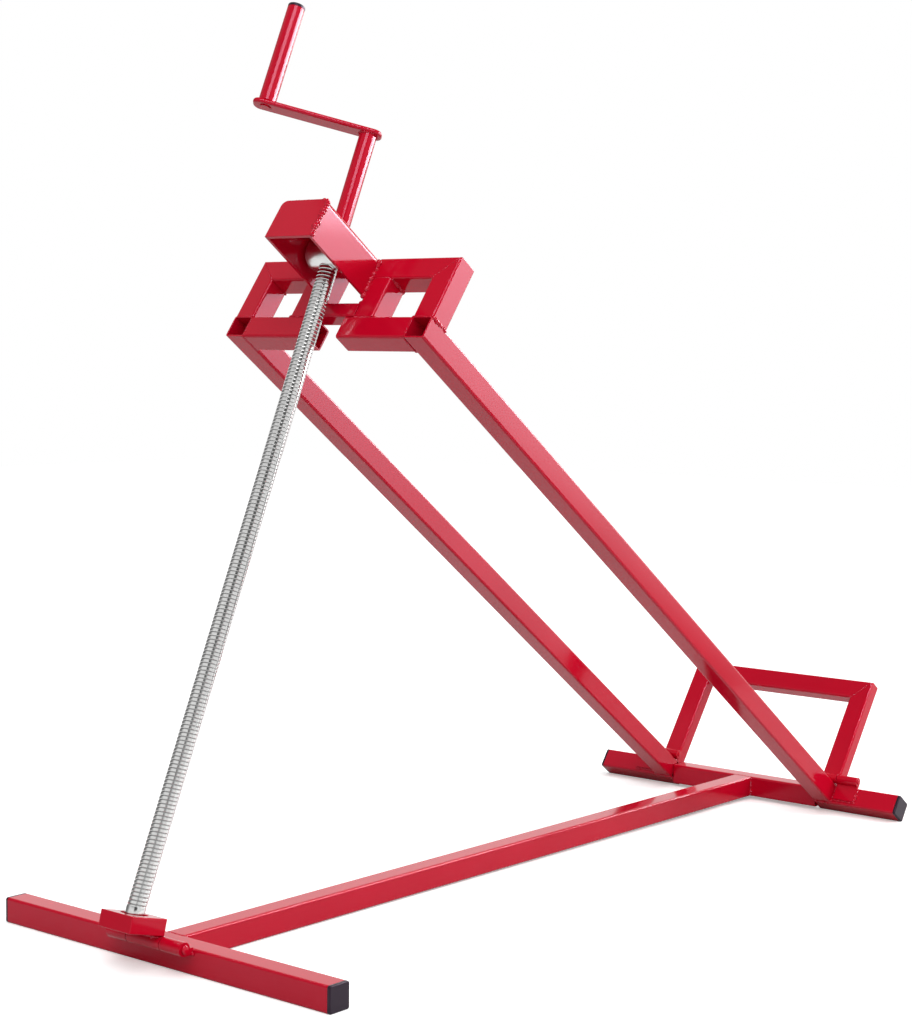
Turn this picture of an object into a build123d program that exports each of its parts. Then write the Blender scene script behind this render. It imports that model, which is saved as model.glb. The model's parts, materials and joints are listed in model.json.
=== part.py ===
from build123d import *
import math
import os

os.makedirs("parts", exist_ok=True)

# Square steel tube of the frame
tube = 30.0
wall = 2.0
bend = 1.0
corner = wall + bend
half = tube / 2
bore = tube - 2 * wall

# Plastic end caps
cap_flange = 4.0
cap_plug = 16.0
cap_slack = 0.2
cap_round = 1.5

# Base
foot_length = 515.0
centre_length = 1179.0
cross_length = 254.0
pivot_y = tube + centre_length
pivot_z = half

# Rear axle, a round tube on which the square stubs turn
axle_slack = 0.05
axle_wall = 3.0
axle_reach = 100.0
axle_radius = bore / 2 - axle_slack
axle_length = cross_length + 2 * axle_reach

# Hinge fits
pin_slack = 0.05
pin_overhang = 1.5
pin_round = 1.0
knuckle_gap = 1.0

# Front hinge on the foot
front_barrel = 8.0
front_pin = 4.5
hinge_height = 32.0
front_strap = 5.0
front_strap_drop = 8.0
block_knuckle_length = 52.5
foot_strap_length = 32.0
hinge_y = -half - front_strap - front_barrel
foot_strap_start = block_knuckle_length / 2 + knuckle_gap
foot_hinge_reach = foot_strap_start + foot_strap_length

# Swivel block
block_width = 51.0
block_length = 52.0
block_height = 19.0
block_back = 0.2
block_lean = 14.2
block_round = 1.0
block_top = front_barrel + block_height
block_middle = block_back - block_length / 2

# Lift frame
raise_angle = 35.5
arm_length = 1167.0
stub_length = 131.5
pivot_gap = 1.0
arm_inside = cross_length / 2 + pivot_gap
arm_outside = arm_inside + tube
arm_x = arm_inside + half
stub_end = arm_inside + stub_length

# Head of the lift frame
window_height = 55.0
brace = 20.0
bottom_gap = 48.0
head_middle = -arm_length
head_front = head_middle - half
head_back = head_middle + half
top_tube_z = tube + window_height
head_top = top_tube_z + half

# Nut housing
housing_width = 72.0
housing_height = 53.0
housing_wall = 4.0
housing_reach = 112.0
housing_drop = 2.0
housing_round = 8.0
housing_top = head_top - housing_drop
plate_back = head_front - housing_reach + housing_wall
inner_x = housing_width / 2 + half

# Barrel nut
nut_radius = 19.0
nut_side_gap = 5.5
nut_top_gap = 0.5
nut_reach = 39.5
nut_chamfer = 1.0
nut_length = housing_width - 2 * (housing_wall + nut_side_gap)
nut_y = head_front - nut_reach
nut_z = housing_top - housing_wall - nut_top_gap - nut_radius

# Slot for the spindle in the housing's top wall
slot_width = 25.0
slot_length = 64.0
slot_lead = 17.0

# Spindle
spindle = 11.0
screw_slack = 0.05
journal = 7.0
journal_slack = 0.05
counterbore = 15.5
counterbore_depth = 6.0
washer_height = 2.5
washer_slack = 0.5
thrust_gap = 0.2
collar = 13.0
collar_height = 5.5
collar_gap = 0.3
spotface_slack = 1.0
spotface_depth = 6.5
collar_pin = 1.5
spindle_chamfer = 1.0
tip_overhang = 0.5

# Crank, its shaft and handle cut from one round pipe
crank_pipe = 10.65
pipe_wall = 2.65
shaft_length = 127.0
shaft_gap = 5.0
shaft_grip = 60.0
shaft_pin = 2.5
shaft_pin_inset = 12.0
crank_throw = 127.0
crank_width = 25.0
crank_height = 6.0
crank_overhang = 16.0
crank_round = 10.0
crank_angle = 220.6

# Crank handle, a sleeve that turns on a riveted pin
grip_length = 126.0
grip_gap = 0.4
grip_slack = 0.05
grip_pin = 6.0
grip_pin_head = 7.8
grip_pin_head_height = 4.0
grip_pin_play = 0.3
grip_recess = 8.4
grip_recess_depth = 14.0
rivet = 5.0
rivet_head = 7.0
rivet_head_height = 1.2
plug_height = 4.0
plug_depth = 6.0
plug_round = 2.0

# Folding stop frame
stop_depth = 22.0
stop_height = 177.0
stop_seat = 0.2
stop_y = -half + stop_depth / 2
stop_foot = half + stop_seat
stop_top = half + stop_height
stop_bar_z = stop_top - half

# Stop frame hinges
stop_barrel = 6.5
stop_pin = 3.5
barrel_lift = 0.4
strap_gap = 3.0
strap_length = 33.0
strap_height = 4.0
strap_drop = 24.0
knuckle_overhang = 4.0
stop_hinge_y = -half - stop_barrel
stop_hinge_z = half + stop_barrel + barrel_lift
strap_start = arm_outside + strap_gap
strap_end = strap_start + strap_length
stop_knuckle_start = arm_inside - knuckle_overhang
stop_knuckle_end = strap_start - knuckle_gap


def tip(y, z, angle):
    """Turn a point backwards about the X axis."""
    c = math.cos(math.radians(angle))
    s = math.sin(math.radians(angle))
    return y * c + z * s, z * c - y * s


# The raised stubs hang below the base, so the base leans until foot and stubs share the floor
turn_sum = math.sin(math.radians(raise_angle)) + math.cos(math.radians(raise_angle))
stub_fall = half * turn_sum - corner * (turn_sum - 1)
settle = math.degrees(math.asin((stub_fall - half) / (pivot_y + half)))
lift_angle = raise_angle + settle

# Spindle line from the seat on the block to the nut
seat_y, seat_z = tip(block_middle, block_top, block_lean)
seat_y += hinge_y
seat_z += hinge_height
raised_y, raised_z = tip(nut_y, nut_z, lift_angle)
raised_y += pivot_y
raised_z += pivot_z
screw_lean = math.degrees(math.atan2(raised_y - seat_y, raised_z - seat_z))
nut_distance = math.hypot(raised_y - seat_y, raised_z - seat_z)
bore_lean = screw_lean - block_lean
slope = math.cos(math.radians(lift_angle - screw_lean))
shaft_start = nut_distance + (housing_top - nut_z) / slope + shaft_gap
crank_z = shaft_start + shaft_length
grip_start = crank_z + crank_height + grip_gap
grip_end = grip_start + grip_length
spot_z = spotface_depth - block_height / math.cos(math.radians(bore_lean))
shoulder_z = washer_height + thrust_gap - counterbore_depth
collar_top = spot_z - collar_gap
collar_bottom = collar_top - collar_height

# Places of the moving groups
level = Rot(X=settle)
base_place = level
block_place = level * Pos(0, hinge_y, hinge_height) * Rot(X=-block_lean)
screw_place = level * Pos(0, seat_y, seat_z) * Rot(X=-screw_lean)
crank_place = screw_place * Rot(Z=crank_angle)
lift_place = level * Pos(0, pivot_y, pivot_z) * Rot(X=-lift_angle)
bore_place = Pos(0, block_middle, block_top) * Rot(X=-bore_lean)


def section(width, depth):
    """Hollow square profile with rolled corners."""
    outer = RectangleRounded(width, depth, corner)
    return outer - RectangleRounded(width - 2 * wall, depth - 2 * wall, bend)


def tube_x(depth, height, start, end):
    """Square tube along X."""
    return extrude(Plane.YZ.offset(start) * section(depth, height), end - start)


def tube_y(width, height, length):
    """Square tube running forwards from the XZ plane."""
    return extrude(Plane.XZ * section(width, height), length)


def tube_z(width, depth, start, end):
    """Square tube along Z."""
    return extrude(Plane.XY.offset(start) * section(width, depth), end - start)


def rod(radius, start, end):
    """Round bar along Z."""
    return extrude(Plane.XY.offset(start) * Circle(radius), end - start)


def rod_x(radius, start, end):
    """Round bar along X."""
    return extrude(Plane.YZ.offset(start) * Circle(radius), end - start)


def pipe(radius, hole, start, end):
    """Round tube along Z."""
    return rod(radius, start, end) - rod(hole, start, end)


def pipe_x(radius, hole, start, end):
    """Round tube along X."""
    return rod_x(radius, start, end) - rod_x(hole, start, end)


def mirrored(shape):
    return mirror(shape, about=Plane.YZ)


def mitre(shape, x, z, keep):
    """Cut a tube at 45 degrees through an outer top corner on the right."""
    return split(shape, bisect_by=Plane(origin=(x, 0, z), z_dir=(-1, 0, 1)), keep=keep)


def end_cap(end):
    """Plastic cap with its plug in a tube that ends on the right."""
    face = Plane.YZ.offset(end)
    head = extrude(face * RectangleRounded(tube, tube, corner), cap_flange)
    head = fillet(head.faces().sort_by(Axis.X)[-1].edges(), cap_round)
    side = bore - 2 * cap_slack
    return head + extrude(face * RectangleRounded(side, side, bend), -cap_plug)


def front_foot_tube():
    return Pos(0, 0, half) * tube_x(tube, tube, -foot_length / 2, foot_length / 2)


def front_foot_cap():
    return Pos(0, 0, half) * end_cap(foot_length / 2)


def centre_tube():
    return Pos(0, half + centre_length, half) * tube_y(tube, tube, centre_length)


def rear_cross_tube():
    body = tube_x(tube, tube, -cross_length / 2, cross_length / 2)
    return Pos(0, pivot_y, pivot_z) * body


def rear_axle():
    end = axle_length / 2
    return Pos(0, pivot_y, pivot_z) * pipe_x(axle_radius, axle_radius - axle_wall, -end, end)


def hinge_pin(radius, start, end):
    """Plain pin along X that stands a little out of its barrels."""
    body = rod_x(radius, start - pin_overhang, end + pin_overhang)
    return fillet(body.edges().filter_by(GeomType.CIRCLE), pin_round)


def foot_hinge_strap():
    depth = front_barrel + front_strap
    middle = foot_strap_start + foot_strap_length / 2
    strap = Pos(middle, depth / 2, -front_strap_drop / 2) * Box(foot_strap_length, depth, front_strap_drop)
    body = strap + rod_x(front_barrel, foot_strap_start, foot_hinge_reach)
    body -= rod_x(front_pin, foot_strap_start, foot_hinge_reach)
    return Pos(0, hinge_y, hinge_height) * body


def foot_hinge_pin():
    body = hinge_pin(front_pin, -foot_hinge_reach, foot_hinge_reach)
    return Pos(0, hinge_y, hinge_height) * body


def swivel_block():
    body = Box(block_width, block_length, block_height)
    body = fillet(body.edges(), block_round)
    body = Pos(0, block_middle, block_top - block_height / 2) * body
    depth = block_height + counterbore_depth
    cutter = rod(counterbore, -counterbore_depth, counterbore_depth)
    cutter += rod(journal + journal_slack, -depth, 0)
    cutter += rod(collar + spotface_slack, -depth, spot_z)
    return body - bore_place * cutter


def block_knuckle():
    end = block_knuckle_length / 2
    return pipe_x(front_barrel, front_pin + pin_slack, -end, end)


def thrust_washer():
    top = washer_height - counterbore_depth
    return pipe(counterbore - washer_slack, journal + washer_slack, -counterbore_depth, top)


def spindle_bar():
    bar = rod(spindle, shoulder_z, shaft_start)
    bar = chamfer(bar.edges(), spindle_chamfer)
    bar += rod(journal, collar_bottom - tip_overhang, shoulder_z)
    bar += rod(crank_pipe - pipe_wall, shaft_start, shaft_start + shaft_grip)
    return bar - collar_pin_bar() - shaft_pin_bar()


def collar_pin_bar():
    return Pos(0, 0, (collar_top + collar_bottom) / 2) * rod_x(collar_pin, -collar, collar)


def spindle_collar():
    return pipe(collar, journal, collar_bottom, collar_top) - collar_pin_bar()


def shaft_pin_bar():
    return Pos(0, 0, shaft_start + shaft_pin_inset) * rod_x(shaft_pin, -crank_pipe, crank_pipe)


def crank_shaft():
    return pipe(crank_pipe, crank_pipe - pipe_wall, shaft_start, crank_z) - shaft_pin_bar()


def crank_arm():
    outline = RectangleRounded(crank_throw + 2 * crank_overhang, crank_width, crank_round)
    outline = Pos(crank_throw / 2, 0) * outline - Pos(crank_throw, 0) * Circle(rivet)
    return extrude(Plane.XY.offset(crank_z) * outline, crank_height)


def crank_handle_pin():
    seat = grip_end - grip_recess_depth + grip_pin_play
    body = rod(rivet_head, crank_z - rivet_head_height, crank_z)
    body += rod(rivet, crank_z, crank_z + crank_height)
    body += rod(grip_pin, crank_z + crank_height, seat)
    body += rod(grip_pin_head, seat, seat + grip_pin_head_height)
    return Pos(crank_throw, 0, 0) * body


def grip_sleeve():
    body = pipe(crank_pipe, grip_pin + grip_slack, grip_start, grip_end)
    body -= rod(grip_recess, grip_end - grip_recess_depth, grip_end)
    return Pos(crank_throw, 0, 0) * body


def grip_plug():
    head = rod(crank_pipe, grip_end, grip_end + plug_height)
    head = fillet(head.edges().sort_by(Axis.Z)[-1], plug_round)
    return Pos(crank_throw, 0, 0) * (head + rod(grip_recess, grip_end - plug_depth, grip_end))


def barrel_nut():
    body = rod_x(nut_radius, -nut_length / 2, nut_length / 2)
    body = chamfer(body.edges().filter_by(GeomType.CIRCLE), nut_chamfer)
    body -= rod(spindle + screw_slack, -2 * nut_radius, 2 * nut_radius)
    return Pos(0, 0, nut_distance) * body


def lift_arm():
    return Pos(arm_x, -half, 0) * tube_y(tube, tube, arm_length)


def pivot_stub():
    return tube_x(tube, tube, arm_inside, stub_end)


def head_outer_post():
    body = Pos(arm_x, head_middle, 0) * tube_z(tube, tube, half, head_top)
    return mitre(body, arm_outside, head_top, Keep.BOTTOM)


def head_top_tube():
    body = tube_x(tube, tube, housing_width / 2, arm_outside)
    body = Pos(0, head_middle, top_tube_z) * body
    return mitre(body, arm_outside, head_top, Keep.TOP)


def head_inner_post():
    return Pos(inner_x, head_middle, 0) * tube_z(tube, tube, half, half + window_height)


def head_bottom_tube():
    return Pos(0, head_middle, 0) * tube_x(tube, tube, bottom_gap / 2, arm_inside)


def head_brace():
    body = tube_x(brace, brace, -housing_width / 2, housing_width / 2)
    return Pos(0, head_front + brace / 2, half + brace / 2) * body


def nut_housing():
    outer = Rectangle(housing_width, housing_height)
    outer = fillet(outer.vertices().group_by(Axis.Y)[-1], housing_round)
    inner = Rectangle(housing_width - 2 * housing_wall, housing_height)
    inner = fillet(inner.vertices().group_by(Axis.Y)[-1], housing_round - housing_wall)
    profile = outer - Pos(0, -housing_wall) * inner
    body = extrude(Plane.XZ * profile, head_back - plate_back)
    body = Pos(0, head_back, housing_top - housing_height / 2) * body
    slot = extrude(SlotOverall(slot_length, slot_width, rotation=90), housing_height / 2)
    return body - Pos(0, nut_y - slot_lead, nut_z) * slot


def housing_front_plate():
    outline = Rectangle(housing_width, housing_height)
    outline = fillet(outline.vertices().group_by(Axis.Y)[-1], housing_round)
    body = extrude(Plane.XZ * outline, housing_wall)
    return Pos(0, plate_back, housing_top - housing_height / 2) * body


def stop_hinge_strap():
    leaf = Box(strap_length, strap_height, strap_drop + stop_hinge_z - half)
    middle = (stop_hinge_z + half - strap_drop) / 2
    leaf = Pos((strap_start + strap_end) / 2, -half - strap_height / 2, middle) * leaf
    place = Pos(0, stop_hinge_y, stop_hinge_z)
    body = leaf + place * rod_x(stop_barrel, strap_start, strap_end)
    return body - place * rod_x(stop_pin, strap_start, strap_end)


def stop_hinge_pin():
    body = hinge_pin(stop_pin, stop_knuckle_start, strap_end)
    return Pos(0, stop_hinge_y, stop_hinge_z) * body


def stop_knuckle():
    body = pipe_x(stop_barrel, stop_pin + pin_slack, stop_knuckle_start, stop_knuckle_end)
    return Pos(0, stop_hinge_y, stop_hinge_z) * body


def stop_leg():
    body = Pos(arm_x, stop_y, 0) * tube_z(tube, stop_depth, stop_foot, stop_top)
    return mitre(body, arm_outside, stop_top, Keep.BOTTOM)


def stop_top_bar():
    body = tube_x(stop_depth, tube, -arm_outside, arm_outside)
    body = mitre(Pos(0, stop_y, stop_bar_z) * body, arm_outside, stop_top, Keep.TOP)
    return mirrored(mitre(mirrored(body), arm_outside, stop_top, Keep.TOP))


def save(name, shape, place):
    export_step(place * shape, f"parts/{name}.step")


def save_pair(name, shape, place):
    save(f"right_{name}", shape, place)
    save(f"left_{name}", mirrored(shape), place)


# Base
save("front_foot_tube", front_foot_tube(), base_place)
save_pair("front_foot_cap", front_foot_cap(), base_place)
save("centre_tube", centre_tube(), base_place)
save("rear_cross_tube", rear_cross_tube(), base_place)
save("rear_axle", rear_axle(), base_place)
save_pair("foot_hinge_strap", foot_hinge_strap(), base_place)
save("foot_hinge_pin", foot_hinge_pin(), base_place)

# Swivel block
save("swivel_block", swivel_block(), block_place)
save("block_knuckle", block_knuckle(), block_place)
save("thrust_washer", thrust_washer(), screw_place)

# Spindle and crank
save("spindle", spindle_bar(), screw_place)
save("spindle_collar", spindle_collar(), screw_place)
save("collar_pin", collar_pin_bar(), screw_place)
save("crank_shaft", crank_shaft(), screw_place)
save("crank_shaft_pin", shaft_pin_bar(), screw_place)
save("crank_arm", crank_arm(), crank_place)
save("crank_handle_pin", crank_handle_pin(), crank_place)
save("grip_sleeve", grip_sleeve(), crank_place)
save("grip_plug", grip_plug(), crank_place)
save("barrel_nut", barrel_nut(), screw_place)

# Lift frame
save_pair("lift_arm", lift_arm(), lift_place)
save_pair("pivot_stub", pivot_stub(), lift_place)
save_pair("pivot_stub_cap", end_cap(stub_end), lift_place)
save_pair("head_outer_post", head_outer_post(), lift_place)
save_pair("head_inner_post", head_inner_post(), lift_place)
save_pair("head_top_tube", head_top_tube(), lift_place)
save_pair("head_bottom_tube", head_bottom_tube(), lift_place)
save("head_brace", head_brace(), lift_place)
save("nut_housing", nut_housing(), lift_place)
save("housing_front_plate", housing_front_plate(), lift_place)
save_pair("stop_hinge_strap", stop_hinge_strap(), lift_place)
save_pair("stop_hinge_pin", stop_hinge_pin(), lift_place)

# Folding stop frame
save_pair("stop_knuckle", stop_knuckle(), lift_place)
save_pair("stop_leg", stop_leg(), lift_place)
save("stop_top_bar", stop_top_bar(), lift_place)
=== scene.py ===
import json
import math
import random

import bpy
from mathutils import Matrix, Vector


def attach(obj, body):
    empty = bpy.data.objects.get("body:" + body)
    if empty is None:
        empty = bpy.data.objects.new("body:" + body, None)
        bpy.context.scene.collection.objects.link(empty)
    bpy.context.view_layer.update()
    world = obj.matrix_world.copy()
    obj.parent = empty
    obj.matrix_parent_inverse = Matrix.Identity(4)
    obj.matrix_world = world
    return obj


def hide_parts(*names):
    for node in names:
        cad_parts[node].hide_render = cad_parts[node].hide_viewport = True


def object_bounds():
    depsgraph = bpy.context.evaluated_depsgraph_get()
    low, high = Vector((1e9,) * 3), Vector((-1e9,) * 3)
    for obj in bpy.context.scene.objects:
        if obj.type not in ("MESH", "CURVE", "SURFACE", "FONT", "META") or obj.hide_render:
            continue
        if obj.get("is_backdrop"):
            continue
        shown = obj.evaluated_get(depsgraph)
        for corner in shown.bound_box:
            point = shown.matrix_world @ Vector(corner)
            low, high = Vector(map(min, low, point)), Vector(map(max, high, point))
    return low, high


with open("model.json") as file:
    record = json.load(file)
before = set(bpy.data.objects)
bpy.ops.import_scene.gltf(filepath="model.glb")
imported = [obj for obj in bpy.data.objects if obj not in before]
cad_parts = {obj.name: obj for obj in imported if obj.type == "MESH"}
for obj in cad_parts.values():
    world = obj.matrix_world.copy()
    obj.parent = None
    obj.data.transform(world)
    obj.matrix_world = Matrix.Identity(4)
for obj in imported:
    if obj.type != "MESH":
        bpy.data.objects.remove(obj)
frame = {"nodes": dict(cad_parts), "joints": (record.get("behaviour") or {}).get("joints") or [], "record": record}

bl_info = {
    "name": "Lawn Mower Lift Jack",
    "version": (1, 0, 0),
    "blender": (4, 5, 0),
    "location": "3D View > Sidebar > Lift Jack",
    "description": "Dresses the packed lift jack with its thread, welds and finishes",
    "category": "Object",
}

JOINTS = {joint["name"]: joint for joint in frame["joints"]}
MOUNTS = {mount["name"]: mount for mount in frame["record"]["mounts"]}
COLLECTION = bpy.context.scene.collection
SEEN_RAYS = ("Is Camera Ray", "Is Glossy Ray", "Is Transmission Ray")
FINISHES = {
    "frame_paint": "red_powder_coat",
    "cap_plastic": "black_cap_plastic",
    "zinc_steel": "zinc_plate",
}

# The side panel: where it stands and how far it reaches, in metres, and its tone by height.
PANEL_RIGHT = 0.9
PANEL_NEAR, PANEL_FAR = 0.8, 3.5
PANEL_TOP = 1.45
PANEL_TONES = ((0.0, 0.067), (0.35, 0.107), (0.65, 0.2), (0.88, 0.276), (0.97, 1.0))
PANEL_CORNER = (0.013, 0.013, 0.013, 1.0)
PANEL_CORNER_SLOPE = 0.58
PANEL_CORNER_END, PANEL_LIGHT_START = 1.2, 1.35

# How deep beads lie in their corners, in bead radii, and how far they stop short of a
# tube's edges, in tube widths.
SUNK_BEAD = 0.3
GROUND_BEAD = 0.6
GROUND_POST_BEAD = 0.7
BEAD_INSET = 0.1
BEAD_SEED = 11

BLACK = (0.0, 0.0, 0.0, 1.0)
WHITE = (1.0, 1.0, 1.0, 1.0)
FLOOR_SIZE = 16.0
STAGE_MIDDLE = (0.0, 0.35, 0.7)


class Place:
    """A local frame of the object, with X kept and Z turned to a given direction."""

    def __init__(self, origin, up):
        z = Vector(up).normalized()
        x = Vector((1.0, 0.0, 0.0))
        y = z.cross(x)
        self.matrix = Matrix((x, y, z)).transposed().to_4x4()
        self.matrix.translation = Vector(origin)
        self.inverse = self.matrix.inverted()

    def span(self, node):
        """Lowest and highest corner of a CAD node in this frame."""
        corners = [self.inverse @ vertex.co for vertex in frame["nodes"][node].data.vertices]
        low = Vector([min(corner[i] for corner in corners) for i in range(3)])
        high = Vector([max(corner[i] for corner in corners) for i in range(3)])
        return low, high

    def turned(self, angle):
        """The same frame, turned about its Z."""
        place = Place(self.matrix.translation, self.matrix.col[2].xyz)
        place.matrix = self.matrix @ Matrix.Rotation(angle, 4, "Z")
        place.inverse = place.matrix.inverted()
        return place


BASE = Place((0.0, 0.0, 0.0), -Vector(MOUNTS["front_foot_sole"]["axis"]))
LIFT = Place(JOINTS["lift_swing"]["pos_m"], MOUNTS["right_load_face"]["axis"])
SCREW = Place(JOINTS["crank_turn"]["pos_m"], -Vector(JOINTS["crank_turn"]["axis"]))
GRIP = Place(JOINTS["grip_spin"]["pos_m"], JOINTS["grip_spin"]["axis"])


def block_up():
    """Direction that the swivel block's top face looks in."""
    normals = [face.normal for face in frame["nodes"]["swivel_block"].data.polygons]
    return max(normals, key=lambda normal: normal.z - abs(normal.x)).copy()


BLOCK = Place(JOINTS["block_tilt"]["pos_m"], block_up())


class Field:
    """A socket among a material's nodes, so that shader maths reads as expressions."""

    def __init__(self, tree, socket=None):
        self.tree = tree
        self.socket = socket

    def node(self, kind, settings, inputs, output=0):
        """Add a node, set it up, feed its sockets and give one of its outputs."""
        made = self.tree.nodes.new("ShaderNode" + kind)
        for name, value in settings.items():
            if name == "stops":
                self.set_stops(made.color_ramp.elements, value)
            else:
                setattr(made, name, value)
        for key, value in inputs.items():
            if isinstance(value, Field):
                self.tree.links.new(value.socket, made.inputs[key])
            else:
                made.inputs[key].default_value = value
        return Field(self.tree, made.outputs[output] if made.outputs else None)

    def set_stops(self, elements, stops):
        """Give a colour ramp its stops."""
        while len(elements) < len(stops):
            elements.new(1.0)
        for element, (position, colour) in zip(elements, stops):
            element.position = position
            element.color = colour

    def math(self, operation, *values):
        """One Math node."""
        return self.node("Math", {"operation": operation}, dict(enumerate(values)))

    def vector(self, operation, *values, output=0):
        """One Vector Math node."""
        return self.node("VectorMath", {"operation": operation}, dict(enumerate(values)), output)

    def dot(self, direction):
        """How far these coordinates reach in a direction."""
        return self.vector("DOT_PRODUCT", self, tuple(direction), output="Value")

    def axes(self, names):
        """Single axes of these coordinates."""
        return [self.node("SeparateXYZ", {}, {0: self}, name) for name in names]

    def mix(self, factor, first, second):
        """Blend two colours."""
        inputs = {0: factor, 6: first, 7: second}
        return self.node("Mix", {"data_type": "RGBA"}, inputs, 2)

    def ramp(self, low, high):
        """Smooth step from 0 at low to 1 at high."""
        settings = {"interpolation_type": "SMOOTHSTEP"}
        return self.node("MapRange", settings, {"Value": self, "From Min": low, "From Max": high})

    def noise(self, scale, detail):
        """Noise on these coordinates."""
        return self.node("TexNoise", {}, {"Vector": self, "Scale": scale, "Detail": detail})

    def __add__(self, other):
        return self.math("ADD", self, other)

    def __sub__(self, other):
        return self.math("SUBTRACT", self, other)

    def __mul__(self, other):
        return self.math("MULTIPLY", self, other)

    def __radd__(self, other):
        return self.math("ADD", other, self)

    def __rsub__(self, other):
        return self.math("SUBTRACT", other, self)

    def __rmul__(self, other):
        return self.math("MULTIPLY", other, self)


def new_material(name):
    """A material without nodes, and the field to build its nodes from."""
    material = bpy.data.materials.new(name)
    material.use_nodes = True
    material.node_tree.nodes.clear()
    return material, Field(material.node_tree)


def surface(field, inputs):
    """Close a material with one Principled shader."""
    shader = field.node("BsdfPrincipled", {}, inputs)
    field.node("OutputMaterial", {}, {"Surface": shader})


def object_coords(field):
    return field.node("TexCoord", {}, {}, "Object")


def paint_material(name, settings, gloss, edge):
    """Glossy powder coat with a faint orange peel, rounded over sharp edges where edge is set."""
    material, field = new_material(name)
    coords = object_coords(field)
    cloud = coords.noise(7.0, 3.0)
    peel = coords.noise(260.0, 1.0)
    specks = coords.noise(1900.0, 0.0)
    colour = field.mix(cloud.ramp(0.3, 0.7), settings.colour, settings.deep_colour)
    bumped = {"Strength": 0.05, "Distance": 0.0002, "Height": peel}
    if edge:
        bumped["Normal"] = field.node("Bevel", {"samples": 4}, {"Radius": edge})
    surface(field, {
        "Base Color": colour,
        "Roughness": settings.roughness + 0.05 * cloud + 0.03 * specks,
        "Specular IOR Level": gloss,
        "Specular Tint": tuple(settings.gloss_tint),
        "Normal": field.node("Bump", {}, bumped),
    })
    return material


def plastic_material(settings):
    """Black moulded plastic with a fine grain."""
    material, field = new_material("black_cap_plastic")
    coords = object_coords(field)
    grain = coords.noise(1500.0, 2.0)
    haze = coords.noise(60.0, 3.0)
    soft_edge = field.node("Bevel", {"samples": 4}, {"Radius": settings.edge})
    bumped = {"Strength": 0.25, "Distance": 0.0002, "Height": grain, "Normal": soft_edge}
    surface(field, {
        "Base Color": field.mix(haze, settings.plastic_colour, settings.plastic_haze),
        "Roughness": 0.3 + 0.14 * haze,
        "Specular IOR Level": 0.25,
        "Specular Tint": tuple(settings.plastic_tint),
        "Normal": field.node("Bump", {}, bumped),
    })
    return material


def zinc_material(settings):
    """Bright zinc plate with a faint cloudy spangle."""
    material, field = new_material("zinc_plate")
    coords = object_coords(field)
    cloud = coords.noise(90.0, 3.0)
    colour = field.mix(cloud, settings.zinc_colour, settings.zinc_shade)
    bumped = {"Strength": 0.04, "Distance": 0.0002, "Height": coords.noise(900.0, 1.0)}
    surface(field, {
        "Base Color": colour,
        "Metallic": 1.0,
        "Roughness": 0.18 + 0.1 * cloud,
        "Normal": field.node("Bump", {}, bumped),
    })
    return material


def screw_material(settings, radius, depth):
    """Zinc plate with painted shade (a darker colour) down in the thread's grooves, which are also duller."""
    material, field = new_material("zinc_screw")
    coords = object_coords(field)
    offset = field.vector("SUBTRACT", coords, tuple(SCREW.matrix.translation))
    off_axis = field.vector("CROSS_PRODUCT", offset, tuple(SCREW.matrix.col[2].xyz))
    distance = field.vector("LENGTH", off_axis, output="Value")
    # Painted shade: groove is 1 in the thread's grooves, where it darkens the zinc's colour and raises its
    # roughness.
    groove = 1.0 - distance.ramp(radius - depth, radius - 0.15 * depth)
    cloud = coords.noise(240.0, 3.0)
    colour = field.mix(cloud, settings.zinc_colour, settings.zinc_shade)
    bumped = {"Strength": 0.08, "Distance": 0.0002, "Height": coords.noise(1600.0, 1.0)}
    surface(field, {
        "Base Color": field.mix(0.5 * groove, colour, settings.groove_painted_shade),
        "Metallic": 1.0,
        "Roughness": 0.09 + 0.05 * cloud + 0.12 * groove,
        "Normal": field.node("Bump", {}, bumped),
    })
    return material


def floor_material(settings):
    """Plain pale floor, white to the eye and in the gloss, and greyer in what it throws back."""
    material, field = new_material("pale_floor")
    seen, glossy, direct = [field.node("LightPath", {}, {}, kind) for kind in SEEN_RAYS]
    tone = object_coords(field).noise(0.7, 1.0)
    pale = field.mix(tone, settings.floor_colour, settings.floor_shade)
    surface(field, {
        "Base Color": field.mix(seen + glossy + direct, settings.floor_bounce, pale),
        "Emission Color": field.mix(seen, BLACK, pale),
        "Emission Strength": settings.floor_lift,
        "Roughness": 0.9,
        "Specular IOR Level": 0.0,
    })
    return material


def finish_of(slot):
    """The material that a slot of the record wears."""
    return bpy.data.materials[FINISHES[slot]]


def deselect():
    """Leave edit mode with nothing selected."""
    if bpy.context.mode != "OBJECT":
        bpy.ops.object.mode_set(mode="OBJECT")
    bpy.ops.object.select_all(action="DESELECT")


def select_only(*objects):
    deselect()
    for obj in objects:
        obj.select_set(True)
    bpy.context.view_layer.objects.active = objects[0]


def apply_modifiers(obj):
    select_only(obj)
    for modifier in list(obj.modifiers):
        bpy.ops.object.modifier_apply(modifier=modifier.name)


def settle(obj, name, material, body, smooth=35.0):
    """Name a finished piece, bake its place into its mesh, dress it and let it ride."""
    select_only(obj)
    bpy.ops.object.transform_apply(location=True, rotation=True, scale=True)
    bpy.ops.object.shade_smooth_by_angle(angle=math.radians(smooth))
    obj.name = name
    obj.data.name = name
    obj.data.materials.clear()
    obj.data.materials.append(material)
    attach(obj, body)


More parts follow.
